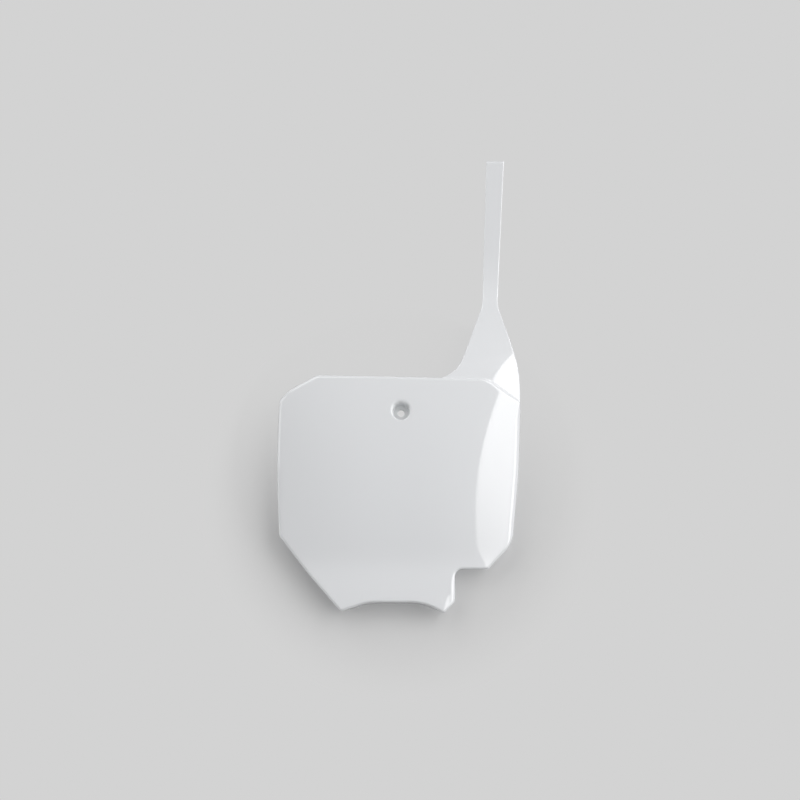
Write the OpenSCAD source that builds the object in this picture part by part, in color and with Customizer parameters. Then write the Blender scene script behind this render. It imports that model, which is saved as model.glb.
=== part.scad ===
// Motocross number board with its handlebar strap, one moulded piece.
// Front view: X to the right, Z up, the face looks towards -Y.
// Origin: centre of the bolt hole, on the seat at the bottom of the cup.

/* [Face outline] */
// from the bolt hole up to the top edge, at its left end
top_rise = 38.5; // [34:0.5:46]
// how much lower the top edge runs at the strap side
top_fall = 3.5; // [0:0.5:5]
// from the bolt hole out to the left edge at its widest
left_reach = 125.6; // [116:0.2:134]
// how far both ends of the left edge draw in
left_draw = 3.6; // [1:0.1:5]
// from the bolt hole out to the right edge at its widest
right_reach = 120; // [116:0.5:128]
// from the bolt hole out to the start of the upper left shoulder
shoulder_reach = 84; // [76:0.5:92]
// height of the upper left shoulder
shoulder_h = 26; // [20:0.5:32]
// from the bolt hole out to the start of the upper right shoulder
ridge_reach = 86; // [80:0.5:94]
// height of the upper right shoulder, where the strap leaves
ridge_h = 23.5; // [18:0.5:28]
// from the bolt hole down to the lower left corner
left_drop = 123; // [112:0.5:130]
// from the bolt hole down to the lower right corner
right_drop = 126; // [116:0.5:132]
// from the bolt hole down to the step beside the tab
step_drop = 156; // [150:0.5:162]
// from the bolt hole out to the outer end of the step
step_reach = 87.5; // [80:0.5:96]

/* [Lower lip] */
// from the bolt hole down to the crown of the cut in the lower edge
cut_drop = 189; // [184:0.2:192]
// depth of that cut at the left tip
left_tip = 9; // [6:0.2:11]
// slope of that cut beside the tab, in mm per mm across
right_slope = 0.615; // [0.45:0.005:0.75]
// from the bolt hole out to the left tip
tip_reach = 60.5; // [56:0.5:68]
// from the bolt hole out to the straight side of the tab
tab_reach = 54.2; // [48:0.2:60]
// width of the slanted corner of the tab
tab_slant = 11.5; // [8:0.5:16]

/* [Face shape] */
// how far the side edges fall back behind the middle of the face
side_fall = 14; // [8:0.5:20]
// how quickly the face turns towards its side edges
side_power = 2.6; // [2:0.1:3.2]
// radius of the upright curve of the face
upright_r = 645; // [450:5:1000]
// from the bolt hole down to the foremost line of the face
crown_drop = 85; // [60:1:110]
// angle by which the lower lip kicks forward again
lip_angle = 12.5; // [6:0.5:16]
// from the bolt hole down to the bend above the lip
bend_drop = 150; // [142:1:158]
// wall thickness of the face and of the turned-in edge
wall = 2.2; // [1.8:0.1:2.8]
// width of the rounded rim, seen from the front
rim_w = 2.6; // [2.4:0.1:3.4]
// width of the softer rim along the right edge
soft_rim_w = 6; // [3:0.5:7]
// depth of the turned-in edge behind the face
edge_depth = 11; // [9:0.5:16]

/* [Strap] */
// how far the strap starts behind the face
strap_step = 2.6; // [2:0.1:4]
// from the bolt hole up to the end of the strap
strap_rise = 254.5; // [200:0.5:300]
// width of the strap at its end
strap_end_w = 18; // [15:0.5:22]
// width of the strap where its foot begins
strap_neck_w = 15.4; // [12:0.2:18]
// from the bolt hole up to that neck
neck_rise = 108.5; // [95:0.5:125]
// from the bolt hole across to the middle of the neck
neck_x = 89.6; // [84:0.2:94]
// sideways lean of the strap from its neck to its end
strap_lean = 5.6; // [0:0.2:8]
// radius of the corner between top edge and strap
foot_r = 34; // [24:0.5:40]
// thickness of the strap
strap_t = 2.2; // [1.6:0.1:3]
// how much further back the right edge of the strap foot lies
strap_bow = 1.8; // [0:0.1:4]
// how far the strap has gone back at its neck
neck_back = 40; // [30:1:60]
// slope of the strap at its neck, in mm per mm of height
neck_slope = 0.5; // [0.3:0.01:0.7]
// slope of the strap at its end, in mm per mm of height
end_slope = 0.02; // [0:0.005:0.3]
// height over which the strap straightens above its neck
ease_h = 66; // [40:1:100]

/* [Bolt cup] */
// diameter of the bolt hole, clearance for an M6 bolt
bolt_hole_d = 7; // [6.2:0.1:8.4]
// diameter of the seat for the bolt head and its washer
seat_d = 15.6; // [14:0.2:18]
// diameter of the cup just under its rounded mouth
cup_mouth_d = 16.8; // [15:0.2:19]
// depth of the seat under the face
cup_depth = 10.4; // [7:0.2:12]
// tilt of the cup, its mouth turned upwards
cup_tilt = 12.5; // [8:0.5:15]
// wall round the cup
cup_wall = 2.4; // [2:0.1:3]
// floor of the cup round the bolt hole
cup_floor = 2.6; // [2:0.1:4]
// height of the rounded mouth of the cup
flare_h = 1.7; // [1:0.1:2.2]
// how many webs hold the cup
web_count = 4; // [3:1:6]
// thickness of a web
web_t = 1.8; // [1.2:0.1:2.4]
// reach of a web from the axis of the cup
web_reach = 24; // [18:0.5:28]

/* [Colour] */
// colour of the plastic
board_colour = "#f2f4f5";

/* [Hidden] */
$fn = 64;

// radii of the outline corners
shoulder_r = 14;
shoulder_mid_r = 26;
side_r = 7;
side_bow_r = 1000;
slant_bow_r = 300;
tip_r = 4.5;
cut_r = 58;
tab_nose_r = 4;
tab_corner_r = 6;
inner_corner_r = 7.5;
step_r = 4.5;
lower_right_r = 30;
right_bow_r = 500;
ridge_end_r = 6;
ridge_r = 26;

// where the slow bends of the long edges lie
shoulder_mid = [13.2, 15.4];
left_bow_drop = 62;
slant_bow = [-95.6, -157.6];
cut_half_w = 29;
cut_mid_x = -4.5;
cut_run = 18.2;
tab_rise = 1;
right_mid = [107, 135.5];
right_bow_drop = 55;
right_draw = [7.8, 1.6];

// grid of the surfaces
edge_step = 13;
arc_step = 22;
ring_count = 9;
rim_steps = 4;
ring_power = 1.25;
grid_centre = [0, -62];
probe = 0.05;
flange_draft = 0.4;
soft_fade = 18;
barrel_h = 160;
barrel_drop = 80;
bend_soft = 5;
edge_round = 0.7;
strap_cols = 7;
foot_rows = 9;
strap_rows = 9;
anchor_inset = 1.2;
edge_gap = 0.3;
foot_w = 52;
foot_in = 26.8;
foot_lift = 2.6;
foot_low = -2;
bow_x = 80;
hip_z = 43;
neck_r = 24;
hip_r = 140;
flare_steps = 5;
web_turn = 45;
web_foot = 1;
flare_gain = 0.55;
flare_power = 1.8;
flare_over = 3;
pass = 1;

// plain vector helpers
function unit(v) = v / norm(v);
function turn(v) = [-v[1], v[0]];
function span(a) = (a + 540) % 360 - 180;

// outline corners as [x, z, radius], clockwise from the upper left shoulder
left_x = -left_reach + left_draw;
left_top = top_rise - shoulder_h;
right_x = right_reach;
ridge_top = top_rise - top_fall;
nose_x = tab_reach - tab_slant;
nose_run = nose_x - cut_mid_x - cut_half_w;
corners = [
    [-shoulder_reach, top_rise, shoulder_r],
    [ridge_reach, ridge_top, ridge_r],
    [right_x, ridge_top - ridge_h, ridge_end_r],
    [right_x - right_draw[1], -right_bow_drop, right_bow_r],
    [right_x - right_draw[0], -right_drop, lower_right_r],
    [right_mid[0], -right_mid[1], lower_right_r],
    [step_reach, -step_drop, step_r],
    [tab_reach, -step_drop, inner_corner_r],
    [tab_reach, -cut_drop + tab_rise, tab_corner_r],
    [nose_x, -cut_drop - right_slope * nose_run, tab_nose_r],
    [cut_mid_x + cut_half_w, -cut_drop, cut_r * nose_run / cut_run],
    [cut_mid_x - cut_half_w, -cut_drop, cut_r],
    [-tip_reach, -cut_drop - left_tip, tip_r],
    [slant_bow[0], slant_bow[1], slant_bow_r],
    [left_x, -left_drop, side_r],
    [-left_reach, -left_bow_drop, side_bow_r],
    [left_x, left_top, side_r],
    [-left_reach + shoulder_mid[0], top_rise - shoulder_mid[1], shoulder_mid_r]
];

// points of the arc that rounds corner b between a and c
function corner_arc(a, b, c) =
    let (p = [b[0], b[1]])
    let (u = unit([a[0], a[1]] - p))
    let (v = unit([c[0], c[1]] - p))
    let (open = acos(u * v))
    let (m = p + unit(u + v) * b[2] / sin(open / 2))
    let (s = p + u * b[2] / tan(open / 2) - m)
    let (e = p + v * b[2] / tan(open / 2) - m)
    let (from = atan2(s[1], s[0]))
    let (sweep = span(atan2(e[1], e[0]) - from))
    let (by_turn = ceil(abs(sweep) / arc_step))
    let (by_length = ceil(abs(sweep) * PI / 180 * b[2] / edge_step))
    let (n = max(2, by_turn, by_length))
    [for (i = [0:n]) m + b[2] * [cos(from + sweep * i / n), sin(from + sweep * i / n)]];

// points between a and b, both left out, no further apart than the edge step
function between(a, b) =
    let (n = ceil(norm(b - a) / edge_step))
    [for (i = [1:1:n - 1]) a + (b - a) * i / n];

// closed line through all corner arcs, its straight stretches divided
function closed_line(list) =
    let (n = len(list))
    let (arcs = [for (i = [0:n - 1]) corner_arc(list[(i + n - 1) % n], list[i], list[(i + 1) % n])])
    [for (i = [0:n - 1]) each concat(arcs[i], between(arcs[i][len(arcs[i]) - 1], arcs[(i + 1) % n][0]))];

rim = closed_line(corners);
rim_n = len(rim);

// outward direction of the outline at point i
function outward(i) =
    let (back = unit(rim[i] - rim[(i + rim_n - 1) % rim_n]))
    let (on = unit(rim[(i + 1) % rim_n] - rim[i]))
    unit(turn(back + on));

// depth of the face at x, z: crowned upright, falling back to the sides, lip kicked forward
function crown(z) = pow(z + crown_drop, 2) / (2 * upright_r);
function kick(z) = -tan(lip_angle) * bend_soft * ln(1 + exp((-bend_drop - z) / bend_soft));
function barrel(z) = 1 / (1 + pow((z + barrel_drop) / barrel_h, 2));
function side(x) = side_fall * pow(abs(x) / right_reach, side_power);
face_front = -cup_depth * cos(cup_tilt);
cup_lean = cup_tilt - atan(crown_drop / upright_r);
function face_y(p) = face_front + crown(p[1]) - crown(0) + kick(p[1]) + barrel(p[1]) * side(p[0]);

// slope of the face at p along the unit direction d
function slope(p, d) = (face_y(p + d * probe) - face_y(p - d * probe)) / (2 * probe);

// width of the rounded rim at point i, wider along the right edge, growing below the ridge
function rim_at(i) =
    let (east = max(0, outward(i)[0]))
    let (far = rim[i][0] > tab_reach + soft_rim_w ? 1 : 0)
    let (low = min(1, max(0, (ridge_top - ridge_h - rim[i][1]) / soft_fade)))
    rim_w + far * (soft_rim_w - rim_w) * pow(east, 8) * low * low * (3 - 2 * low);

// points of the face at share t of the way from the grid centre to the rim
function inset(i) = rim[i] - outward(i) * (rim_at(i) + flange_draft);
function face_point(i, t) = grid_centre + (inset(i) - grid_centre) * t;
function front_point(i, t) =
    let (p = face_point(i, t))
    [p[0], face_y(p), p[1]];
function back_point(i, t) =
    let (p = face_point(i, t))
    let (n = unit([slope(p, [1, 0]), -1, slope(p, [0, 1])]))
    [p[0], face_y(p), p[1]] - wall * n;

// points of the rounded rim: arc from the face slope to the drafted side wall
function rim_point(i, k, skin) =
    let (e = inset(i))
    let (o = outward(i))
    let (a = atan(slope(e, o)))
    let (r = rim_at(i) / (1 - sin(a)))
    let (f = a + (90 - a) * k / rim_steps)
    let (out = r * (sin(f) - sin(a)) - skin * sin(f))
    let (p = e + o * out)
    [p[0], face_y(e) + r * (cos(a) - cos(f)) + skin * cos(f), p[1]];
function wall_end(i, skin) =
    let (p = rim[i] - outward(i) * skin)
    [p[0], face_y(inset(i)) + edge_depth, p[1]];

function ring_share(k) = 1 - pow(1 - k / ring_count, ring_power);
function ring(k) =
    k < ring_count ? [for (i = [0:rim_n - 1]) front_point(i, ring_share(k))]
    : k <= ring_count + rim_steps ? [for (i = [0:rim_n - 1]) rim_point(i, k - ring_count, 0)]
    : k == ring_count + rim_steps + 1 ? [for (i = [0:rim_n - 1]) wall_end(i, 0)]
    : k == ring_count + rim_steps + 2 ? [for (i = [0:rim_n - 1]) wall_end(i, wall)]
    : k <= ring_count + 2 * rim_steps + 3
    ? [for (i = [0:rim_n - 1]) rim_point(i, ring_count + 2 * rim_steps + 3 - k, wall)]
    : [for (i = [0:rim_n - 1]) back_point(i, ring_share(ring_total - k + 1))];
ring_total = 2 * ring_count + 2 * rim_steps + 2;

// closed skin through a stack of loops, its two ends closed by a point each
function loop_faces(rows, n) =
    [for (k = [0:rows - 2], i = [0:n - 1])
        let (a = k * n + i, b = k * n + (i + 1) % n)
        each [[a, b + n, b], [a, a + n, b + n]]];

module board_shell() {
    first = front_point(0, 0);
    last = back_point(0, 0);
    rows = [for (k = [1:ring_total]) each ring(k)];
    n = rim_n;
    top = len(rows);
    start = [for (i = [0:n - 1]) [top, i, (i + 1) % n]];
    stop = [for (i = [0:n - 1]) [top + 1, top - n + (i + 1) % n, top - n + i]];
    polyhedron(concat(rows, [first, last]), concat(start, loop_faces(ring_total, n), stop));
}

// point at share f of the length of an open line
function gap(line, i) = i < len(line) ? norm(line[i] - line[i - 1]) : 0;
function lengths(line) = [for (i = 0, s = 0; i < len(line); i = i + 1, s = s + gap(line, i)) s];
function along(line, f) =
    let (s = lengths(line))
    let (at = f * s[len(s) - 1])
    [lookup(at, [for (i = [0:len(s) - 1]) [s[i], line[i][0]]]),
        lookup(at, [for (i = [0:len(s) - 1]) [s[i], line[i][1]]])];

// side lines of the strap foot, from the board up to the neck
neck_left = [neck_x - strap_neck_w / 2, neck_rise];
neck_right = [neck_x + strap_neck_w / 2, neck_rise];
end_left = [neck_x + strap_lean - strap_end_w / 2, strap_rise];
end_right = [neck_x + strap_lean + strap_end_w / 2, strap_rise];
anchor_z = ridge_top - anchor_inset;
anchor_x = right_x - anchor_inset;
foot_start = [neck_left[0] - foot_w, anchor_z];
foot_corner = [neck_left[0] - foot_in, anchor_z + foot_lift, foot_r];
right_start = [anchor_x, foot_low];
hip = [right_x - edge_gap, hip_z, hip_r];
function open_arc(a, b, c) = corner_arc([a[0], a[1], 0], b, [c[0], c[1], 0]);
foot_left = concat([foot_start], open_arc(foot_start, foot_corner, neck_left),
    open_arc(foot_corner, [neck_left[0], neck_left[1], neck_r], end_left));
foot_right = concat([right_start], open_arc(right_start, hip, neck_right),
    open_arc(hip, [neck_right[0], neck_right[1], neck_r], end_right));

// line inside the turned-in edge where the strap grows out of the board
anchor = concat([foot_start],
    open_arc(foot_start, [ridge_reach, anchor_z, ridge_r], [anchor_x, ridge_top - ridge_h]),
    open_arc([ridge_reach, anchor_z], [anchor_x, ridge_top - ridge_h, ridge_end_r], right_start),
    [right_start]);

// depth of the strap above its neck, its slope easing from neck to end
function strap_y(z) =
    let (t = min(1, max(0, (z - neck_rise) / ease_h)))
    neck_back + end_slope * (z - neck_rise)
        + (neck_slope - end_slope) * ease_h / 3 * (1 - pow(1 - t, 3));

// depth of the strap foot: behind the face up to the ridge, then swinging back to the neck
function bow(x) = strap_bow * pow(max(0, (x - bow_x) / (right_x - bow_x)), 2);
function swing(t) =
    let (tall = neck_rise - ridge_top)
    let (rise = neck_back - face_y([0, ridge_top]) - strap_step)
    let (first = tall * (ridge_top + crown_drop) / upright_r)
    let (last = tall * neck_slope)
    first * t + (3 * rise - 2 * first - last) * t * t + (first + last - 2 * rise) * t * t * t;
function foot_y(p) =
    let (t = min(1, max(0, (p[1] - ridge_top) / (neck_rise - ridge_top))))
    let (across = (barrel(p[1]) * side(p[0]) + bow(p[0])) * (1 - t) * (1 - t) * (1 + 2 * t))
    let (low = [0, min(p[1], ridge_top)])
    across + (p[1] > neck_rise ? strap_y(p[1]) : face_y(low) + strap_step + swing(t));

// point of the strap front at share s across and step j along
function strap_point(s, j) =
    j <= foot_rows ? foot_point(s, j / foot_rows) : upper_point(s, (j - foot_rows) / strap_rows);
function foot_point(s, h) =
    let (base = along(anchor, s))
    let (flat = anchor[0] * (1 - s) + anchor[len(anchor) - 1] * s)
    let (a = along(foot_left, h))
    let (b = along(foot_right, h))
    let (p = a * (1 - s) + b * s + (base - flat) * pow(1 - h, 2))
    [p[0], foot_y(p), p[1]];
function upper_point(s, h) =
    let (a = along([foot_left[len(foot_left) - 1], end_left], h))
    let (b = along([foot_right[len(foot_right) - 1], end_right], h))
    let (p = a * (1 - s) + b * s)
    [p[0], strap_y(p[1]), p[1]];

// one closed row of the strap: front, rounded right edge, back, rounded left edge
function strap_loop(j) =
    let (w = norm(strap_point(1, j) - strap_point(0, j)))
    let (e = edge_round / w)
    let (near = [for (i = [0:strap_cols]) e + (1 - 2 * e) * i / strap_cols])
    let (deep = [0, strap_t, 0])
    let (q = [0, edge_round / 2, 0])
    concat([for (s = near) strap_point(s, j)],
        [strap_point(1, j) + q, strap_point(1, j) + deep - q],
        [for (i = [0:strap_cols]) strap_point(near[strap_cols - i], j) + deep],
        [strap_point(0, j) + deep - q, strap_point(0, j) + q]);

// faces that close one row of the strap, its points counted from first
function strap_cap(first, n) =
    concat([for (i = [0:strap_cols - 1]) each [[i, i + 1, n - 3 - i], [i + 1, n - 4 - i, n - 3 - i]]],
        [[strap_cols, strap_cols + 1, strap_cols + 2], [strap_cols, strap_cols + 2, strap_cols + 3]],
        [[0, n - 3, n - 2], [0, n - 2, n - 1]]) + first * [for (i = [1:2 * strap_cols + 4]) [1, 1, 1]];
function flipped(faces) = [for (f = faces) [f[2], f[1], f[0]]];

module strap() {
    rows = foot_rows + strap_rows + 1;
    loops = [for (j = [0:rows - 1]) strap_loop(j)];
    n = len(loops[0]);
    ends = concat(strap_cap(0, n), flipped(strap_cap((rows - 1) * n, n)));
    polyhedron([for (l = loops) each l], concat(ends, loop_faces(rows, n)));
}

// turns the axis of a revolved form onto the axis of the bolt cup
module on_cup_axis() {
    rotate([90 - cup_tilt, 0, 0]) {
        children();
    }
}

module cup_body() {
    tall = cup_depth - wall / 2;
    on_cup_axis() {
        translate([0, 0, -cup_floor]) {
            cylinder(d = cup_mouth_d + 2 * cup_wall, h = tall + cup_floor);
        }
    }
}

// thin webs between cup and face, their front edge inside the wall of the face
module cup_webs() {
    root = (cup_mouth_d + cup_wall) / 2;
    front = cup_depth - wall / 2;
    for (i = [0:web_count - 1]) {
        a = web_turn + 360 * i / web_count;
        up = web_reach * sin(a);
        far = front + up * tan(cup_lean) - up * up / (2 * upright_r);
        on_cup_axis() {
            rotate([0, 0, a]) {
                translate([0, web_t / 2, 0]) {
                    rotate([90, 0, 0]) {
                        linear_extrude(web_t) {
                            polygon([[root, web_foot], [root, front], [web_reach, far],
                                [web_reach, far - wall]]);
                        }
                    }
                }
            }
        }
    }
}

// hollow of the cup: drafted wall, then a mouth that opens wider as it rises
module cup_hollow() {
    mouth = cup_depth - flare_h;
    flare = [for (i = [1:flare_steps])
        let (h = (flare_h + flare_over) * i / flare_steps)
        [cup_mouth_d / 2 + flare_gain * pow(h, flare_power), mouth + h]];
    on_cup_axis() {
        rotate_extrude() {
            polygon(concat([[0, 0], [seat_d / 2, 0], [cup_mouth_d / 2, mouth]], flare,
                [[0, cup_depth + flare_over]]));
        }
    }
}

module bolt_hole() {
    on_cup_axis() {
        translate([0, 0, -cup_floor - pass]) {
            cylinder(d = bolt_hole_d, h = cup_floor + 2 * pass);
        }
    }
}

module number_board() {
    color(board_colour) {
        difference() {
            union() {
                board_shell();
                strap();
                cup_body();
                cup_webs();
            }
            cup_hollow();
            bolt_hole();
        }
    }
}

union() {
    number_board();
}
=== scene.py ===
import math

import bpy
import numpy as np
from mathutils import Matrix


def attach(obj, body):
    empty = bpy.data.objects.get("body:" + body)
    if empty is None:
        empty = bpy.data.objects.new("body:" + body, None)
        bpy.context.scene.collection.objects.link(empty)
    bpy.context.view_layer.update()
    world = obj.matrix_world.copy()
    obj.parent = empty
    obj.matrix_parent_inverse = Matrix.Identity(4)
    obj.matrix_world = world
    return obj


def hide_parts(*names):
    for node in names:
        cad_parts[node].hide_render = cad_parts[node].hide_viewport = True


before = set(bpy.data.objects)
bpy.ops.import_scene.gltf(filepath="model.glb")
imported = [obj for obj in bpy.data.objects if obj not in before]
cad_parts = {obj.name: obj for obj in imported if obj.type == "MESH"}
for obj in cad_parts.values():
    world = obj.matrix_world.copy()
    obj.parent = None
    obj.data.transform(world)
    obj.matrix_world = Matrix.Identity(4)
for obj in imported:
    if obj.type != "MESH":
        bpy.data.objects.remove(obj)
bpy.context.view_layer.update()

mm = 0.001
quarterTurn = np.radians((0, 30, 60, 90))  # the steps of a small rounding

# the moulded face and its edge, in mm from the bolt hole: x to the right, z up
board = {
    "corners": [  # x, z, radius, clockwise from the upper left shoulder
        (-84.0, 38.5, 14.0),
        (86.0, 35.0, 26.0),  # 1, right end of the top edge
        (120.0, 11.5, 6.0),  # 2, outer end of the right shoulder
        (118.4, -55.0, 500.0),
        (112.2, -126.0, 30.0),
        (107.0, -135.5, 30.0),
        (87.5, -156.0, 4.5),
        (54.2, -156.0, 7.5),
        (54.2, -188.0, 6.0),  # 8, right foot of the tab
        (42.7, -200.2, 4.0),
        (24.5, -189.0, 58.0),
        (-33.5, -189.0, 58.0),
        (-60.5, -198.0, 4.5),
        (-95.6, -157.6, 300.0),
        (-122.0, -123.0, 7.0),
        (-125.6, -62.0, 1000.0),
        (-122.0, 12.5, 7.0),
        (-112.4, 23.1, 26.0),
    ],
    "pointGap": 2.6,  # between neighbouring points of the outline, at most
    "sideReach": 120.0,  # half width at which the face has fallen back fully
    "sideFall": 14.0,
    "sidePower": 2.6,
    "barrelDrop": 80.0,  # how far below the hole the fall is strongest
    "barrelHeight": 160.0,  # and how far above and below that it is halved
    "uprightRadius": 645.0,
    "crownDrop": 85.0,  # how far below the hole the face stands upright
    "lipAngle": 12.5,
    "bendDrop": 150.0,
    "bendSoft": 5.0,
    "wall": 2.2,
    "rimWidth": 2.6,
    "softRimWidth": 6.0,  # along the right edge
    "softFade": 18.0,  # height over which it widens below the shoulder
    "softAcross": (60.0, 30.0),  # x from which it widens, and over what run
    "tabRimWidth": 4.0,  # along the right edge of the tab
    "tabAcross": (50.0, 4.0),
    "tabDown": (160.0, 10.0),
    "tabFrom": 170.0,  # how far down the right side of the tab starts to fall back
    "tabRun": 20.0,
    "tabWidth": 14.0,
    "tabBend": 0.015,
    "flangeDraft": 0.4,
    "edgeDepth": 11.0,
    "edgeRound": 0.45,
    "archFlare": 1.3,  # how far the edge leans out under the arched lip
    "archFacing": (0.75, 0.15),  # how squarely it has to face down there
    "archBelow": 180.0,
    "archTips": (-197.0, 3.0),  # height of its two tips, where it leans no more
    "frontRings": 64,
    "backRings": 30,
    "rimRings": 11,
}

cup = {
    "tilt": 12.5,
    "depth": 10.4,
    "seatRadius": 7.8,
    "mouthRadius": 8.4,
    "wallHeight": 8.9,  # over which the radius grows from the one to the other
    "seatFillet": 0.7,
    "seatRing": 5.4,  # a ring between that fillet and the hole
    "holeRadius": 3.5,
    "holeRound": 0.3,
    "floor": 2.6,
    "wall": 2.4,
    "lipInner": 1.5,  # reach of the rounded lip at its lowest point
    "lipOuter": 4.6,  # and at its highest point
    "lipPower": 1.5,  # how late it grows from the one to the other
    "lipDepth": (0.75, 0.2),  # as a share of its reach, and in mm on top of that
    "lipPull": 0.62,  # how long the lip keeps to the face and to the wall
    "lipRings": 12,
    "backRound": 0.8,
    "backFlat": 2.0,
    "backFoot": (2.4, 2.0),  # reach and drop of the fillet behind the face
    "backPull": (1.3, 1.4),
    "backRings": 7,
}

topRight, shoulder, tabFoot = (board["corners"][i] for i in (1, 2, 8))
tilt = math.radians(cup["tilt"])
cupAxis = np.array([0, -math.cos(tilt), math.sin(tilt)])
cupUp = np.array([0, math.sin(tilt), math.cos(tilt)])
cupCentre = np.array([0, cup["depth"] * math.sin(tilt)])


def unit(v):
    return v / np.linalg.norm(v, axis=-1, keepdims=True)


# how much of a run a value has covered past a start, from 0 to 1
def ramp(value, start, run):
    return np.clip((value - start) / run, 0, 1)


# the same share with soft ends
def smooth(t):
    return t ** 2 * (3 - 2 * t)


# a corner rounded with an arc: its points and their outward directions
def cornerArc(before, corner, after, step=6.0):
    p, radius = np.array(corner[:2], float), corner[2]
    u = unit(np.array(before[:2], float) - p)
    v = unit(np.array(after[:2], float) - p)
    half = math.acos(float(u @ v)) / 2
    mid = p + unit(u + v) * radius / math.sin(half)
    start = p + u * radius / math.tan(half) - mid
    end = p + v * radius / math.tan(half) - mid
    first = math.atan2(start[1], start[0])
    sweep = (math.atan2(end[1], end[0]) - first + 3 * math.pi) % (2 * math.pi) - math.pi
    parts = max(3, abs(math.degrees(sweep)) / step, abs(sweep) * radius / board["pointGap"])
    turn = first + sweep * np.linspace(0, 1, math.ceil(parts) + 1)
    ray = np.stack([np.cos(turn), np.sin(turn)], 1)
    return mid + radius * ray, ray * (-1 if sweep > 0 else 1)


# the closed outline: arcs at the corners and evenly divided straights between them
def outlinePoints(corners):
    following = corners[1:] + corners[:1]
    arcs = [cornerArc(corners[i - 1], corner, following[i]) for i, corner in enumerate(corners)]
    points, normals = [], []
    for (arc, ray), (nextArc, _) in zip(arcs, arcs[1:] + arcs[:1]):
        gap = nextArc[0] - arc[-1]
        count = math.ceil(np.linalg.norm(gap) / board["pointGap"])
        share = np.arange(1, count)[:, None] / count
        points += [arc, arc[-1] + gap * share]
        normals += [ray, np.repeat(ray[-1:], count - 1, 0)]
    return np.concatenate(points), np.concatenate(normals)


# fall of the face to both sides: a power of x, strongest at one height, weaker above and below
def sideDepth(x, z):
    fading = 1 + ((z + board["barrelDrop"]) / board["barrelHeight"]) ** 2
    return board["sideFall"] * (np.abs(x) / board["sideReach"]) ** board["sidePower"] / fading


# depth of the face: an upright circle, the fall to both sides, a lip that kicks forward below
# a soft bend, and a tab whose right side falls back a little towards its foot
def faceDepth(x, z):
    f = board
    seat = cup["depth"] * math.cos(tilt)
    crown = ((z + f["crownDrop"]) ** 2 - f["crownDrop"] ** 2) / (2 * f["uprightRadius"])
    bend = f["bendSoft"] * np.log1p(np.exp((-f["bendDrop"] - z) / f["bendSoft"]))
    kick = math.tan(math.radians(f["lipAngle"])) * bend
    low = ramp(-z, f["tabFrom"], f["tabRun"])
    past = np.clip(x - tabFoot[0] + f["tabWidth"] * smooth(low), 0, None) * (low > 0)
    return crown + sideDepth(x, z) - kick + f["tabBend"] * past ** 2 - seat


# slopes of the face across and upwards: the change in depth over a short step to both sides
def faceSlopes(x, z, h=0.02):
    slopeX = (faceDepth(x + h, z) - faceDepth(x - h, z)) / (2 * h)
    slopeZ = (faceDepth(x, z + h) - faceDepth(x, z - h)) / (2 * h)
    return slopeX, slopeZ


# points of the upright plan, given as x and z, put at the depth of the face
def onFace(p):
    return np.stack([p[..., 0], faceDepth(p[..., 0], p[..., 1]), p[..., 1]], -1)


# the same point moved inwards by the wall, along the normal of the face
def behindFace(p):
    slopeX, slopeZ = faceSlopes(p[..., 0], p[..., 1])
    normal = unit(np.stack([slopeX, -np.ones_like(slopeX), slopeZ], -1))
    return onFace(p) - board["wall"] * normal


# the rim: how wide its rounding is all round, and where the face ends and the rim begins
outline, outward = outlinePoints(board["corners"])
across, down = outline[:, 0], -outline[:, 1]
facingRight = np.clip(outward[:, 0], 0, 1)
belowShoulder = smooth(ramp(down, -shoulder[1], board["softFade"]))
onRight = ramp(across, *board["softAcross"]) ** 2 * facingRight ** 8 * belowShoulder
onTab = ramp(across, *board["tabAcross"]) * ramp(down, *board["tabDown"]) * facingRight ** 4
rimWidth = board["rimWidth"] + (board["softRimWidth"] - board["rimWidth"]) * onRight
rimWidth = rimWidth + (board["tabRimWidth"] - board["rimWidth"]) * onTab
edgeLine = outline - outward * (rimWidth + board["flangeDraft"])[:, None]
edgeY = faceDepth(edgeLine[:, 0], edgeLine[:, 1])
edgeSlopeX, edgeSlopeZ = faceSlopes(edgeLine[:, 0], edgeLine[:, 1])
edgeTilt = np.arctan(edgeSlopeX * outward[:, 0] + edgeSlopeZ * outward[:, 1])
rimRadius = rimWidth / (1 - np.sin(edgeTilt))

# how far the turned-in edge leans out, which it does only under the arched lip
underArch = ramp(-outward[:, 1], *board["archFacing"]) * (down > board["archBelow"])
archLean = board["archFlare"] * underArch * ramp(-down, *board["archTips"])

# directions from the middle of the cup to each point of the rim, upright and in the seat's plane
rays = unit(edgeLine - cupCentre)
seatRays = rays[:, :1] * np.array([1.0, 0, 0]) + rays[:, 1:] * cupUp


# one ring of the rim, on an arc: share 0 is the end of the face, share 1 the side wall,
# and skin is how deep it lies under the surface
def rimRing(share, skin):
    turn = edgeTilt + (math.pi / 2 - edgeTilt) * share
    out = rimRadius * (np.sin(turn) - np.sin(edgeTilt)) - skin * np.sin(turn)
    back = rimRadius * (np.cos(edgeTilt) - np.cos(turn)) + skin * np.cos(turn)
    p = edgeLine + outward * out[:, None]
    return np.stack([p[:, 0], edgeY + back, p[:, 1]], 1)


# one ring of the turned-in edge: inset from the outline, back behind the end of the face
def wallRing(inset, back):
    p = outline + outward * (archLean - inset)[:, None]
    return np.stack([p[:, 0], edgeY + back, p[:, 1]], 1)


# a ring round the cup axis: radius and height above the seat, each a number or one value a ray
def cupRing(radius, height):
    radius = np.broadcast_to(radius, len(rays))[:, None]
    height = np.broadcast_to(height, len(rays))[:, None]
    return height * cupAxis + radius * seatRays


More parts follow.
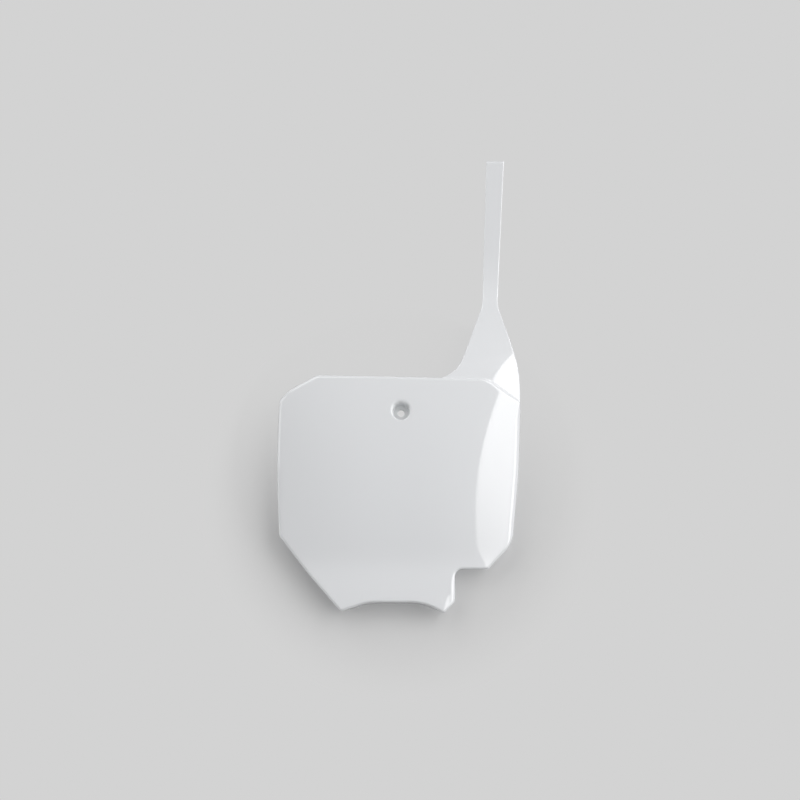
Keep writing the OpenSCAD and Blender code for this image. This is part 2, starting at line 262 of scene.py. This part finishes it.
# rings along a cubic curve between two rings, leaving both along given directions
def blendRings(start, startWay, end, endWay, count):
    t = np.linspace(0, 1, count + 2)[1:-1, None, None]
    middle = 3 * (1 - t) ** 2 * t * (start + startWay) + 3 * (1 - t) * t ** 2 * (end + endWay)
    return list((1 - t) ** 3 * start + middle + t ** 3 * end)


# the whole shell as rings, each with one point per ray: over the front into the cup, through
# the hole, up the back of the cup, out over the back of the face and round the turned-in edge
def boardRings():
    lip = (rays[:, 1] / 2 + 0.5) ** cup["lipPower"]  # 0 below the hole, 1 above it
    lip = cup["lipInner"] + (cup["lipOuter"] - cup["lipInner"]) * lip
    mouth = cupCentre + rays * (cup["mouthRadius"] + lip)[:, None]

    # front of the face, from the rim to the mouth of the cup and closer together there
    share = np.linspace(1, 0, board["frontRings"])
    share = 0.5 * share + 0.5 * share ** 2.2
    rings = [onFace(mouth + (edgeLine - mouth) * t) for t in share]
    faceEnd = rings[-1]

    # rounded lip, soft above and tight below, and the wall of the cup
    drop = cup["lipDepth"][0] * lip + cup["lipDepth"][1]
    wallTop = np.sum(faceEnd * cupAxis, 1) - drop
    widening = cup["mouthRadius"] - cup["seatRadius"]
    wallRadius = cup["seatRadius"] + widening * wallTop / cup["wallHeight"]
    wallStart = cupRing(wallRadius, wallTop)
    inward = unit(onFace(mouth - rays * 0.5) - faceEnd) * (cup["lipPull"] * lip)[:, None]
    upward = cupAxis * (cup["lipPull"] * drop)[:, None]
    rings += blendRings(faceEnd, inward, wallStart, upward, cup["lipRings"])
    rings.append(wallStart)
    cupFrom = len(rings) - 6  # the painted shade of the cup reaches over the lower half of the lip
    r = cup["seatFillet"]
    for t in (0.35, 0.7, 0.9):
        radius = wallRadius + (cup["seatRadius"] - wallRadius) * t
        rings.append(cupRing(radius, wallTop + (r - wallTop) * t))

    # fillet round the seat, the seat, and the bolt hole with both its ends rounded
    for a in quarterTurn:
        rings.append(cupRing(cup["seatRadius"] - r + r * np.cos(a), r - r * np.sin(a)))
    rings.append(cupRing(cup["seatRing"], 0))
    hole, r = cup["holeRadius"], cup["holeRound"]
    ends = ((1, 0), (0.3, 0.3), (0, 1))  # how far out and how deep, in parts of the rounding
    rings += [cupRing(hole + r * out, -r * deep) for out, deep in ends]
    rings += [cupRing(hole + r * out, r * deep - cup["floor"]) for out, deep in ends[::-1]]

    # back of the cup, up its outside and out over the back of the face
    innerFrom = len(rings) - 1
    outer, r = cup["mouthRadius"] + cup["wall"], cup["backRound"]
    rings.append(cupRing(outer - cup["backFlat"], -cup["floor"]))
    for a in quarterTurn:
        rings.append(cupRing(outer - r + r * np.sin(a), r - r * np.cos(a) - cup["floor"]))
    foot = cupCentre + rays * outer
    footY = faceDepth(foot[:, 0], foot[:, 1]) + board["wall"] + cup["backFoot"][1]
    outerTop = (outer * rays[:, 1] * math.sin(tilt) - footY) / math.cos(tilt)
    rings.append(cupRing(outer, (outerTop + r - cup["floor"]) / 2))
    wallEnd = cupRing(outer, outerTop)
    rings.append(wallEnd)
    backFoot = cupCentre + rays * (outer + cup["backFoot"][0])
    backStart = behindFace(backFoot)
    inward = unit(backStart - behindFace(backFoot + rays * 0.5))
    upPull, inPull = cup["backPull"]
    rings += blendRings(wallEnd, cupAxis * upPull, backStart, inward * inPull, cup["backRings"])
    share = np.linspace(0, 1, board["backRings"])[:-1]
    share = 0.4 * share + 0.6 * share ** 2
    rings += [behindFace(backFoot + (edgeLine - backFoot) * t) for t in share]

    # inside of the rim, down the inside of the edge, round its end and back up
    rings += [rimRing(t, board["wall"]) for t in np.linspace(0, 1, 6)]
    depth, wall, r = board["edgeDepth"], board["wall"], board["edgeRound"]
    for a in quarterTurn:
        rings.append(wallRing(wall - r + r * np.cos(a), depth - r + r * np.sin(a)))
    innerTo = len(rings)
    for a in quarterTurn[::-1]:
        rings.append(wallRing(r - r * np.cos(a), depth - r + r * np.sin(a)))
    rings += [rimRing(t, 0.0) for t in np.linspace(1, 0, board["rimRings"])[:-1]]

    rings = np.stack(rings)
    inner, sunk = np.zeros((2,) + rings.shape[:2])
    inner[innerFrom:innerTo] = 1
    # painted shade inside the bolt cup, fading in over the four rings before it
    sunk[cupFrom:innerFrom] = 1
    sunk[cupFrom - 4:cupFrom] = np.array([0.1, 0.35, 0.65, 0.9])[:, None]
    return rings, inner, sunk


# faces of a grid that is closed round each ring, and where asked from its last ring to its first
def gridFaces(rows, cols, closeRows):
    i = np.arange(rows if closeRows else rows - 1)[:, None]
    j = np.arange(cols)[None, :]
    a = i * cols + j
    b = i * cols + (j + 1) % cols
    c = (i + 1) % rows * cols + (j + 1) % cols
    d = (i + 1) % rows * cols + j
    return np.stack([a, d, c, b], -1).reshape(-1, 4)


# masks are named values at the points: inner is 1 on the hidden side, where the mould isn't
# polished, and the cup mask is 1 inside the bolt cup, where it paints shade into the colour
def meshFrom(name, points, faces, caps=(), **masks):
    mesh = bpy.data.meshes.new(name)
    mesh.from_pydata((points * mm).reshape(-1, 3).tolist(), [], faces.tolist() + list(caps))
    mesh.polygons.foreach_set("use_smooth", np.ones(len(mesh.polygons), bool))
    for mask, values in masks.items():
        mesh.attributes.new(mask, "FLOAT", "POINT").data.foreach_set("value", values.ravel())
    mesh.update()
    piece = bpy.data.objects.new(name, mesh)
    bpy.context.collection.objects.link(piece)
    return piece


rings, inner, sunk = boardRings()
rows, cols = rings.shape[:2]
faceShell = meshFrom("faceShell", rings, gridFaces(rows, cols, True), inner=inner, sunk=sunk)
print("face shell,", rows, "rings of", cols)

strap = {
    "step": 2.6,  # how far behind the face its foot lies
    "thickness": 2.2,
    "edgeRadius": 0.9,
    "rise": 254.5,
    "endWidth": 18.0,
    "neckWidth": 15.4,
    "neckRise": 108.5,
    "neckX": 89.6,
    "neckRadius": 24.0,
    "lean": 5.6,
    "neckBack": 40.0,
    "neckSlope": 0.5,
    "endSlope": 0.02,
    "easeHeight": 66.0,  # over which the slope goes from the one to the other
    "bow": 1.8,  # how much further back the right edge of the foot lies
    "bowFrom": 80.0,
    "anchorInset": 1.2,
    "footWidth": 52.0,
    "footIn": 26.8,
    "footLift": 2.6,
    "footLow": -2.0,
    "footRadius": 34.0,
    "hipInset": 0.3,
    "hipZ": 43.0,
    "hipRadius": 140.0,
    "filletRadius": 1.3,
    "filletDepth": 1.17,
    "rows": 60,  # in the foot, and about as many above it
    "points": 41,  # across its front
    "endInsets": (0.02, 0.08, 0.18),  # loops on the flat end, which keep its edge crisp
}


# points spread along an open line, by its length
def along(line, f):
    s = np.concatenate([[0], np.cumsum(np.linalg.norm(np.diff(line, axis=0), axis=1))])
    at = np.asarray(f) * s[-1]
    return np.stack([np.interp(at, s, line[:, 0]), np.interp(at, s, line[:, 1])], -1)


# depth above the neck: a steady small slope, and a steeper one at the neck that eases out
def strapDepth(z):
    s = strap
    t = ramp(z, s["neckRise"], s["easeHeight"])
    eased = (s["neckSlope"] - s["endSlope"]) * s["easeHeight"] / 3 * (1 - (1 - t) ** 3)
    return s["neckBack"] + s["endSlope"] * (z - s["neckRise"]) + eased


# depth of the foot: behind the face up to its top edge, then a cubic swing back to the neck
def footDepth(x, z):
    s = strap
    topZ = topRight[1]
    tall = s["neckRise"] - topZ
    t = ramp(z, topZ, tall)
    rise = s["neckBack"] - faceDepth(0.0, topZ) - s["step"]
    first = tall * (topZ + board["crownDrop"]) / board["uprightRadius"]
    last = tall * s["neckSlope"]
    swing = first * t + (3 * rise - 2 * first - last) * t ** 2 + (first + last - 2 * rise) * t ** 3
    middle = faceDepth(0.0, np.minimum(z, topZ)) + s["step"] + swing
    reach = board["sideReach"] - s["bowFrom"]
    bow = s["bow"] * np.clip((x - s["bowFrom"]) / reach, 0, None) ** 2
    sideways = (sideDepth(x, z) + bow) * (1 - t) ** 2 * (1 + 2 * t)
    return sideways + np.where(z > s["neckRise"], strapDepth(z), middle)


# an open line from its start round two finely rounded corners
def roundedLine(start, first, second, end):
    firstArc, secondArc = cornerArc(start, first, second, 2)[0], cornerArc(first, second, end, 2)[0]
    return np.concatenate([[start], firstArc, secondArc])


# the front of the strap: rows between two side lines, from the foot over the neck to the end,
# and a depth for every point; the lowest rows bend into the line behind the right shoulder
def strapSurface():
    s = strap
    neckL = (s["neckX"] - s["neckWidth"] / 2, s["neckRise"], s["neckRadius"])
    neckR = (s["neckX"] + s["neckWidth"] / 2, s["neckRise"], s["neckRadius"])
    endL = (s["neckX"] + s["lean"] - s["endWidth"] / 2, s["rise"])
    endR = (s["neckX"] + s["lean"] + s["endWidth"] / 2, s["rise"])
    anchorX, anchorZ = shoulder[0] - s["anchorInset"], topRight[1] - s["anchorInset"]
    footStart = (neckL[0] - s["footWidth"], anchorZ)
    footCorner = (neckL[0] - s["footIn"], anchorZ + s["footLift"], s["footRadius"])
    rightStart = (anchorX, s["footLow"])
    hip = (shoulder[0] - s["hipInset"], s["hipZ"], s["hipRadius"])
    topCorner = (topRight[0], anchorZ, topRight[2])
    outerCorner = (anchorX, shoulder[1], shoulder[2])
    leftLine = roundedLine(footStart, footCorner, neckL, endL)
    rightLine = roundedLine(rightStart, hip, neckR, endR)
    anchor = roundedLine(footStart, topCorner, outerCorner, rightStart)
    anchor = np.concatenate([anchor, [rightStart]])

    h = np.linspace(0, 1, s["rows"]) ** 1.5
    g = np.linspace(0, 1, s["points"])[:, None]
    a, b = along(leftLine, h)[:, None], along(rightLine, h)[:, None]
    bent = along(anchor, g[:, 0]) - anchor[0] * (1 - g) - anchor[-1] * g
    plan = a * (1 - g) + b * g + bent * (1 - h[:, None, None]) ** 2
    clear = np.linalg.norm(plan - plan[:1], axis=-1) - s["anchorInset"]
    fillet = s["filletDepth"] * np.clip(1 - clear / s["filletRadius"], 0, 1) ** 2
    depth = footDepth(plan[..., 0], plan[..., 1]) - fillet
    foot = np.stack([plan[..., 0], depth, plan[..., 1]], -1)

    t = np.linspace(0, 1, s["rows"])[1:, None]
    a = (leftLine[-1] + (np.array(endL) - leftLine[-1]) * t)[:, None]
    b = (rightLine[-1] + (np.array(endR) - rightLine[-1]) * t)[:, None]
    plan = a * (1 - g) + b * g
    upper = np.stack([plan[..., 0], strapDepth(plan[..., 1]), plan[..., 1]], -1)
    return np.concatenate([foot, upper])


# closes the front to a band of the given thickness, with rounded edges and a flat end: each row
# becomes a loop of its front, the right edge, the back and the left edge
def strapBand(front):
    s = strap
    left, right = front[:, :1], front[:, -1:]
    way = unit(right - left)
    width = np.linalg.norm(right - left, axis=-1)
    r, thick = s["edgeRadius"], s["thickness"]
    flat = left + (front - left) * (1 - 2 * r / width)[..., None] + way * r
    back = np.array([0, 1.0, 0])
    arc = np.radians(np.linspace(0, 90, 5))[1:]
    edge = [(r * math.sin(a), r - r * math.cos(a)) for a in arc]  # how far out and how deep
    edge += [(r * math.cos(a), thick - r + r * math.sin(a)) for a in arc[:-1]]
    rightEdge = [flat[:, -1:] + way * out + back * deep for out, deep in edge]
    leftEdge = [flat[:, :1] - way * out + back * deep for out, deep in edge[::-1]]
    loops = np.concatenate([flat] + rightEdge + [flat[:, ::-1] + back * thick] + leftEdge, 1)
    middle = loops[-1:].mean(1, keepdims=True)
    end = [middle + (loops[-1:] - middle) * (1 - inset) for inset in s["endInsets"]]
    loops = np.concatenate([loops] + end)
    inner = np.zeros(loops.shape[:2])
    inner[:, s["points"] + len(edge):-len(edge)] = 1
    return loops, inner


# closes the curved start of the band: a strip between its front and its back, and the two edges
def bandStart(count, cols):
    last = cols // 2 + count - 1
    strip = [[last - i, last - i - 1, i + 1, i] for i in range(count - 1)]
    rightEdge = list(range(cols // 2, count - 2, -1))
    leftEdge = [0] + list(range(cols - 1, last - 1, -1))
    return strip + [rightEdge, leftEdge]


band, inner = strapBand(strapSurface())
rows, cols = band.shape[:2]
caps = bandStart(strap["points"], cols) + [list(range((rows - 1) * cols, rows * cols))]
strapPiece = meshFrom("strap", band, gridFaces(rows, cols, False)[:, ::-1], caps, inner=inner)
print("strap,", rows, "loops of", cols)

web = {
    "turns": (45, 135, 225, 315),
    "thickness": 1.8,
    "rootInset": 0.6,  # where it starts, inside the wall of the cup
    "reach": 24.0,
    "runOut": 1.0,  # how far past its reach it has sunk into the face
    "runOutSoft": 1.2,
    "height": 6.4,  # at the cup, on top of the height at its tip
    "tipHeight": 1.5,
    "loops": 26,
}


# webs that hold the cup: a thin wall with a rounded crest, whose feet flare into the back of the
# face; each loop is a cross profile, given for one half and mirrored
def webLoops(turn):
    t = web["thickness"] / 2
    halfSide = np.array([0.35 * t, 0.8 * t, t, t + 0.1, t + 0.45, t + 1.1])
    halfLift = np.array([0, -0.15, 1.3, 0.6, 0.12, -0.25])  # two from the crest, four from the face
    side = np.concatenate([-halfSide[::-1], halfSide])[:, None]
    lift = np.concatenate([halfLift[::-1], halfLift])
    onCrest = np.abs(np.arange(12) - 5.5) < 2
    tip = web["reach"] + web["runOut"]
    reach = np.linspace(cup["mouthRadius"] + web["rootInset"], tip, web["loops"])
    start = cup["mouthRadius"] + cup["wall"]
    height = web["tipHeight"] + (1 - ramp(reach, start, web["reach"] - start)) * web["height"]
    height = (height * np.clip((tip - reach) / web["runOutSoft"], 0.02, 1))[:, None]
    ray = np.array([math.cos(turn), math.sin(turn)])
    cross = np.array([-math.sin(turn), math.cos(turn)])
    skin = behindFace(cupCentre + reach[:, None, None] * ray + side * cross)
    up = np.where(onCrest, height + lift, np.minimum(lift, height * 0.8))
    return skin - up[..., None] * cupAxis


loops = np.stack([webLoops(math.radians(turn)) for turn in web["turns"]])
count, rows, cols = loops.shape[:3]
quads = gridFaces(rows, cols, False)[:, ::-1]
faces, caps = [], []
for first in range(0, count * rows * cols, rows * cols):
    faces.append(quads + first)
    caps.append(list(range(first + cols - 1, first - 1, -1)))
    caps.append(list(range(first + (rows - 1) * cols, first + rows * cols)))
webs = meshFrom("cupWebs", loops, np.concatenate(faces), caps, inner=np.ones(loops.shape[:3]))
print("webs,", count, "with", rows, "loops each")


def newMaterial(name):
    material = bpy.data.materials.new(name)
    material.use_nodes = True
    tree = material.node_tree
    tree.nodes.clear()
    return material, tree.nodes, tree.links


# a node with its settings, and values for the sockets that nothing is linked to
def addNode(nodes, kind, sockets=None, **settings):
    node = nodes.new(kind)
    for name, value in settings.items():
        setattr(node, name, value)
    for socket, value in (sockets or {}).items():
        node.inputs[socket].default_value = value
    return node


# runs a value from one range to another
def rangeNode(nodes, fromMin, fromMax, toMin, toMax, shape="LINEAR"):
    ends = {"From Min": fromMin, "From Max": fromMax, "To Min": toMin, "To Max": toMax}
    return addNode(nodes, "ShaderNodeMapRange", ends, interpolation_type=shape)


plastic = {
    "colour": (0.774, 0.785, 0.802, 1),
    "cupShadeColour": (0.665, 0.677, 0.687, 1),  # painted shade: a darker colour inside the bolt cup
    "glowDepth": 0.008,  # how far light wanders inside the plastic of the cup
    "polished": 0.055,  # roughness of the seen side
    "satin": 0.38,  # and of the hidden side
    "ior": 1.6,
    "reflection": 1.0,
    "peelScale": 55.0,
    "peelHeight": 0.000012,
    "grainScale": 900.0,
    "grainHeight": 0.000012,
    "hairlines": 0.035,  # how far fine scratches raise the roughness
    "hairScale": (1500, 60, 45),  # close together across, long down
    "hairTurn": 0.5,
    "hairShare": (0.62, 0.78),  # the higher, the fewer
}


# polished outside with faint waviness and hairlines, fine-grained satin on the hidden side, and
# inside the bolt cup a darker colour as painted shade, with light glowing through the plastic
def glossWhitePlastic():
    p = plastic
    material, nodes, links = newMaterial("glossWhitePlastic")
    out = nodes.new("ShaderNodeOutputMaterial")
    shader = addNode(nodes, "ShaderNodeBsdfPrincipled", {
        "IOR": p["ior"],
        "Specular IOR Level": p["reflection"],
        "Subsurface Radius": (1, 1, 1),
        "Subsurface Scale": p["glowDepth"],
    })
    place = nodes.new("ShaderNodeTexCoord")
    hidden = addNode(nodes, "ShaderNodeAttribute", attribute_name="inner")
    deep = addNode(nodes, "ShaderNodeAttribute", attribute_name="sunk")

    # inside the bolt cup the colour is mixed towards a darker painted shade
    colours = {"A": p["colour"], "B": p["cupShadeColour"]}
    tint = addNode(nodes, "ShaderNodeMix", colours, data_type="RGBA")
    links.new(deep.outputs["Fac"], tint.inputs["Factor"])
    links.new(tint.outputs["Result"], shader.inputs["Base Color"])
    links.new(deep.outputs["Fac"], shader.inputs["Subsurface Weight"])

    peel = addNode(nodes, "ShaderNodeTexNoise", {"Scale": p["peelScale"], "Detail": 2})
    grain = addNode(nodes, "ShaderNodeTexNoise", {"Scale": p["grainScale"], "Detail": 3})
    wavy = addNode(nodes, "ShaderNodeBump", {"Distance": p["peelHeight"]})
    sandy = addNode(nodes, "ShaderNodeBump", {"Distance": p["grainHeight"]})
    links.new(place.outputs["Object"], peel.inputs["Vector"])
    links.new(place.outputs["Object"], grain.inputs["Vector"])
    links.new(peel.outputs["Fac"], wavy.inputs["Height"])
    links.new(grain.outputs["Fac"], sandy.inputs["Height"])
    links.new(hidden.outputs["Fac"], sandy.inputs["Strength"])
    links.new(wavy.outputs["Normal"], sandy.inputs["Normal"])
    links.new(sandy.outputs["Normal"], shader.inputs["Normal"])

    turned = {"Rotation": (0, p["hairTurn"], 0), "Scale": p["hairScale"]}
    stretch = addNode(nodes, "ShaderNodeMapping", turned)
    hairs = addNode(nodes, "ShaderNodeTexNoise", {"Scale": 1, "Detail": 1})
    sparse = rangeNode(nodes, *p["hairShare"], p["polished"], p["polished"] + p["hairlines"])
    either = addNode(nodes, "ShaderNodeMix", {"B": p["satin"]})
    links.new(place.outputs["Object"], stretch.inputs["Vector"])
    links.new(stretch.outputs["Vector"], hairs.inputs["Vector"])
    links.new(hairs.outputs["Fac"], sparse.inputs["Value"])
    links.new(hidden.outputs["Fac"], either.inputs["Factor"])
    links.new(sparse.outputs["Result"], either.inputs["A"])
    links.new(either.outputs["Result"], shader.inputs["Roughness"])
    links.new(shader.outputs["BSDF"], out.inputs["Surface"])
    return material


white = glossWhitePlastic()
for piece in (faceShell, strapPiece, webs):
    piece.data.materials.append(white)
    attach(piece, "root")
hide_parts("number_board")
print("plastic set")

studio = {
    "cameraDistance": 5000.0,
    "frameWidth": 800.0,  # mm across the picture at the board
    "frameCentre": (-1.0, 13.3),
    "sensorWidth": 36,
    "lipHeight": -195.0,  # of the lower lip
    "backdropFoot": 8.0,  # depth of the backdrop at that height
    "backdropSlope": 0.156,
    "backdropHalf": 3000.0,
    "backdropColour": (0.63, 0.63, 0.63, 1),
    "backdropGlow": (0.651, 0.651, 0.651, 1),  # even glow the camera sees where the sheet's shadow is painted away
    # the shadow on the sheet is painted away by that glow: a little of it low down, nearly all high
    # up and far out
    "shadowFull": -170.0,  # height at which the shadow keeps its strength
    "shadowFaint": 30.0,  # and from which it has almost gone
    "shadowLoss": (0.1, 0.9),  # how much of the shadow the painted glow takes at the two
    "shadowMiddle": -90.0,  # height of the point that the next two are measured from
    "shadowNear": 130.0,
    "shadowFar": 200.0,  # the painted glow has taken all of the shadow here
    "holeGlowRadius": 7.0,  # radius of the pool of light painted on the backdrop behind the bolt hole
    "air": 0.225,
    "lamps": {  # azimuth, elevation, roll, distance in m, width and height in m, watts
        "stripLight": (32.6, 25.0, -14.2, 20.0, 7.0, 30.0, 1615.0),
        "keyLight": (62.0, 10.0, 0.0, 20.0, 16.0, 22.0, 2700.0),
        "topLight": (-36.0, 46.0, 0.0, 20.0, 12.0, 12.0, 800.0),
        "skyLight": (0.0, 20.0, 0.0, 20.0, 30.0, 24.0, 290.0),
        "leftLight": (-58.0, 15.0, 0.0, 20.0, 14.0, 10.0, 645.0),
        "edgeLight": (-102.0, 14.0, 0.0, 20.0, 10.0, 10.0, 1200.0),
        "rearLight": (180.0, 25.0, 0.0, 6.0, 4.0, 4.0, 120.0),
    },
    "stripFoot": 0.46,  # brightness at the lower end of the strip light
    "stripFade": 0.36,  # share of its height over which it rises to full
}


# the backdrop leans: its depth grows evenly with height
def backdropDepth(z):
    return studio["backdropFoot"] + studio["backdropSlope"] * (z - studio["lipHeight"])


# grey sheet, open from behind; where the camera looks, an even grey glow is mixed in that paints
# its shadow away upwards and outwards, and paints a pool of light behind the bolt hole
def backdropMaterial():
    s = studio
    material, nodes, links = newMaterial("greyBackdrop")
    out = nodes.new("ShaderNodeOutputMaterial")
    shaded = addNode(nodes, "ShaderNodeBsdfDiffuse", {"Color": s["backdropColour"]})
    plain = addNode(nodes, "ShaderNodeEmission", {"Color": s["backdropGlow"]})
    clear = nodes.new("ShaderNodeBsdfTransparent")
    seen = nodes.new("ShaderNodeMixShader")
    mix = nodes.new("ShaderNodeMixShader")
    where = nodes.new("ShaderNodeNewGeometry")
    path = nodes.new("ShaderNodeLightPath")
    place = nodes.new("ShaderNodeTexCoord")

    # a mask by the distance from the point of the sheet at a height
    def around(z, near, far, atNear, atFar):
        point = (0, backdropDepth(z) * mm, z * mm)
        apart = addNode(nodes, "ShaderNodeVectorMath", {1: point}, operation="DISTANCE")
        mask = rangeNode(nodes, near * mm, far * mm, atNear, atFar, "SMOOTHSTEP")
        links.new(place.outputs["Object"], apart.inputs[0])
        links.new(apart.outputs["Value"], mask.inputs["Value"])
        return mask.outputs["Result"]

    def combined(operation, first, second):
        node = addNode(nodes, "ShaderNodeMath", operation=operation)
        links.new(first, node.inputs[0])
        links.new(second, node.inputs[1])
        return node.outputs["Value"]

    split = nodes.new("ShaderNodeSeparateXYZ")
    low, high = s["shadowFull"] * mm, s["shadowFaint"] * mm
    thin = rangeNode(nodes, low, high, *s["shadowLoss"], "SMOOTHSTEP")
    links.new(place.outputs["Object"], split.inputs["Vector"])
    links.new(split.outputs["Z"], thin.inputs["Value"])
    # painted light for camera rays only: a pool of light behind the bolt hole, and a glow that
    # takes the shadow away high up and far out
    glowBehindHole = around(0, s["holeGlowRadius"], 3 * s["holeGlowRadius"], 1, 0)
    farOut = around(s["shadowMiddle"], s["shadowNear"], s["shadowFar"], 0, 1)
    glowShare = combined("MAXIMUM", thin.outputs["Result"], farOut)
    glowShare = combined("MAXIMUM", glowBehindHole, glowShare)
    glowShare = combined("MULTIPLY", glowShare, path.outputs["Is Camera Ray"])
    links.new(glowShare, seen.inputs["Fac"])
    links.new(shaded.outputs["BSDF"], seen.inputs[1])
    links.new(plain.outputs["Emission"], seen.inputs[2])

    passed = combined("MAXIMUM", where.outputs["Backfacing"], path.outputs["Is Shadow Ray"])
    links.new(passed, mix.inputs["Fac"])
    links.new(seen.outputs["Shader"], mix.inputs[1])
    links.new(clear.outputs["BSDF"], mix.inputs[2])
    links.new(mix.outputs["Shader"], out.inputs["Surface"])
    return material


x = studio["backdropHalf"] * np.array([-1, 1, 1, -1])
z = studio["backdropHalf"] * np.array([-1, -1, 1, 1])
sheet = meshFrom("backdrop", np.stack([x, backdropDepth(z), z], 1), np.array([[0, 1, 2, 3]]))
sheet.data.materials.append(backdropMaterial())
print("backdrop set")


# a soft box that faces the board from an azimuth to the right and an elevation
def areaLight(name, azimuth, elevation, roll, distance, width, height, power):
    lamp = bpy.data.lights.new(name, "AREA")
    lamp.shape = "RECTANGLE"
    lamp.size = width
    lamp.size_y = height
    lamp.energy = power
    thing = bpy.data.objects.new(name, lamp)
    bpy.context.collection.objects.link(thing)
    a, e = math.radians(azimuth), math.radians(elevation)
    way = np.array([math.sin(a) * math.cos(e), -math.cos(a) * math.cos(e), math.sin(e)])
    thing.location = way * distance
    thing.rotation_euler = (math.pi / 2 - e, 0, a)
    thing.rotation_euler.rotate_axis("Z", math.radians(roll))
    return lamp


# the light dims towards its lower end
def dimFoot(lamp):
    lamp.use_nodes = True
    nodes, links = lamp.node_tree.nodes, lamp.node_tree.links
    where = nodes.new("ShaderNodeNewGeometry")
    split = nodes.new("ShaderNodeSeparateXYZ")
    rise = rangeNode(nodes, 0, studio["stripFade"], studio["stripFoot"], 1, "SMOOTHSTEP")
    links.new(where.outputs["Parametric"], split.inputs["Vector"])
    links.new(split.outputs["Y"], rise.inputs["Value"])
    links.new(rise.outputs["Result"], nodes["Emission"].inputs["Strength"])


lamps = {name: areaLight(name, *values) for name, values in studio["lamps"].items()}
dimFoot(lamps["stripLight"])

world = bpy.data.worlds.new("studioAir")
bpy.context.scene.world = world
world.use_nodes = True
world.node_tree.nodes["Background"].inputs["Color"].default_value = (1, 1, 1, 1)
world.node_tree.nodes["Background"].inputs["Strength"].default_value = studio["air"]

camera = bpy.data.cameras.new("photoCamera")
camera.lens = studio["sensorWidth"] * studio["cameraDistance"] / studio["frameWidth"]
camera.sensor_width = studio["sensorWidth"]
camera.clip_end = 100
eye = bpy.data.objects.new("photoCamera", camera)
bpy.context.collection.objects.link(eye)
centreX, centreZ = studio["frameCentre"]
eye.location = (centreX * mm, -studio["cameraDistance"] * mm, centreZ * mm)
eye.rotation_euler = (math.pi / 2, 0, 0)
bpy.context.scene.camera = eye
bpy.context.scene.view_settings.view_transform = "Standard"
print("camera and lights set")
